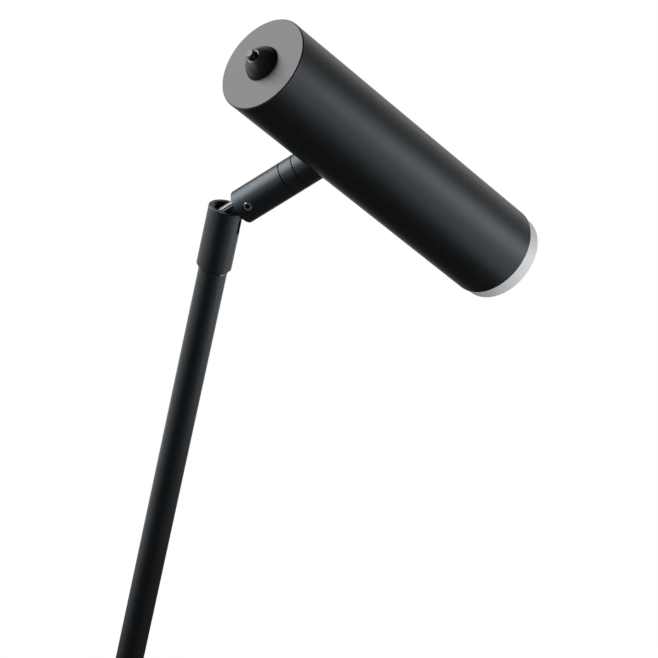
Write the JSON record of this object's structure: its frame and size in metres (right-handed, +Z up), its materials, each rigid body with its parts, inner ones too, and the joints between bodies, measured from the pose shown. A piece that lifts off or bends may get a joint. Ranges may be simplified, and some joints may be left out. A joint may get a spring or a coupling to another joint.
{
  "type": "piano lamp",
  "caption": "Piano lamp: cylindrical LED head with a push switch on a short swivelling neck, straight stem with a knuckle joint at each end, round weighted base.",
  "frame": {"origin": "centre of the base's underside, on the surface the lamp stands on", "axes": "+Z up; the stem leans and the neck bends towards +X; the joints' hinge lines run along Y"},
  "size_m": [0.2561, 0.15, 0.4166],
  "materials": {
    "black_coat": "fine matte black powder coat on steel",
    "black_aluminium": "fine matte black powder coat on aluminium",
    "black_plastic": "smooth black moulded plastic",
    "nickel_steel": "nickel-plated steel",
    "dark_steel": "blackened spring steel",
    "brass": "plain turned brass",
    "iron": "raw cast iron",
    "foam_rubber": "dense foam rubber",
    "bare_aluminium": "plain extruded aluminium",
    "white_plastic": "white moulded plastic",
    "opal": "frosted opal acrylic",
    "board_green": "green lacquered circuit board",
    "board_white": "white lacquered metal-core board",
    "phosphor": "yellow phosphor",
    "wire_black": "black wire insulation"
  },
  "bodies": {
    "base": {"foot_pad": "foam_rubber", "base_plate": "nickel_steel", "base_weight": "iron", "plate_screws": "nickel_steel", "base_shell": "black_coat", "cord_gland": "black_plastic", "terminal_block": "black_plastic", "terminal_screws": "brass", "post_washer": "nickel_steel", "post_nut": "nickel_steel", "foot_post": "black_coat", "foot_set_screw": "nickel_steel", "base_wires": "wire_black", "lower_tongue": "nickel_steel"},
    "stem": {"lower_knuckle": "black_coat", "lower_pivot_pin": "nickel_steel", "lower_friction_bush": "black_plastic", "lower_joint_wires": "wire_black", "stem_tube": "black_coat", "stem_rings": "dark_steel", "stem_wires": "wire_black", "upper_knuckle": "black_coat", "upper_pivot_pin": "nickel_steel", "upper_friction_bush": "black_plastic", "upper_joint_wires": "wire_black"},
    "neck": {"neck_tongue": "nickel_steel", "neck_body": "black_coat", "neck_set_screw": "nickel_steel", "neck_wires": "wire_black", "swivel_ring": "black_coat", "spring_washer": "nickel_steel"},
    "head": {"swivel_nut": "nickel_steel", "swivel_washer": "black_plastic", "stop_pin": "nickel_steel", "swivel_nipple": "brass", "head_collar": "black_coat", "head_tube": "black_aluminium", "saddle_washer": "nickel_steel", "nipple_nut": "nickel_steel", "end_plate": "black_aluminium", "switch_body": "black_plastic", "switch_nut": "black_plastic", "switch_spring": "nickel_steel", "switch_terminals": "brass", "driver_tray": "nickel_steel", "tray_screws": "nickel_steel", "board_standoffs": "black_plastic", "driver_board": "board_green", "driver_components": "black_plastic", "driver_terminals": "white_plastic", "heat_sink": "bare_aluminium", "led_board": "board_white", "led_emitter": "phosphor", "led_screws": "nickel_steel", "reflector": "white_plastic", "diffuser": "opal", "head_grub_screw": "nickel_steel", "head_wires": "wire_black", "led_wires": "wire_black"},
    "button": {"switch_plunger": "black_plastic"}
  },
  "joints": [
    {"name": "base_tilt", "type": "hinge", "parent": "base", "child": "stem", "pos_m": [0, 0, 0.0502], "axis": [0, 1, 0], "range_deg": [-12.26, 47.74], "deforming": ["lower_joint_wires"]},
    {"name": "neck_tilt", "type": "hinge", "parent": "stem", "child": "neck", "pos_m": [0.05946, 0, 0.32381], "axis": [0, 1, 0], "range_deg": [-41.72, 48.28], "deforming": ["upper_joint_wires"]},
    {"name": "head_swivel", "type": "hinge", "parent": "neck", "child": "head", "pos_m": [0.05946, 0, 0.32381], "axis": [0.8088, 0, 0.5881], "range_deg": [-178.73, 111.27]},
    {"name": "switch_push", "type": "slide", "parent": "head", "child": "button", "axis": [0.4891, 0.5553, -0.6727], "range_m": [0, 0.0016], "stiffness_N_per_m": 1500, "springref_m": -0.001, "deforming": ["switch_spring"]}
  ]
}
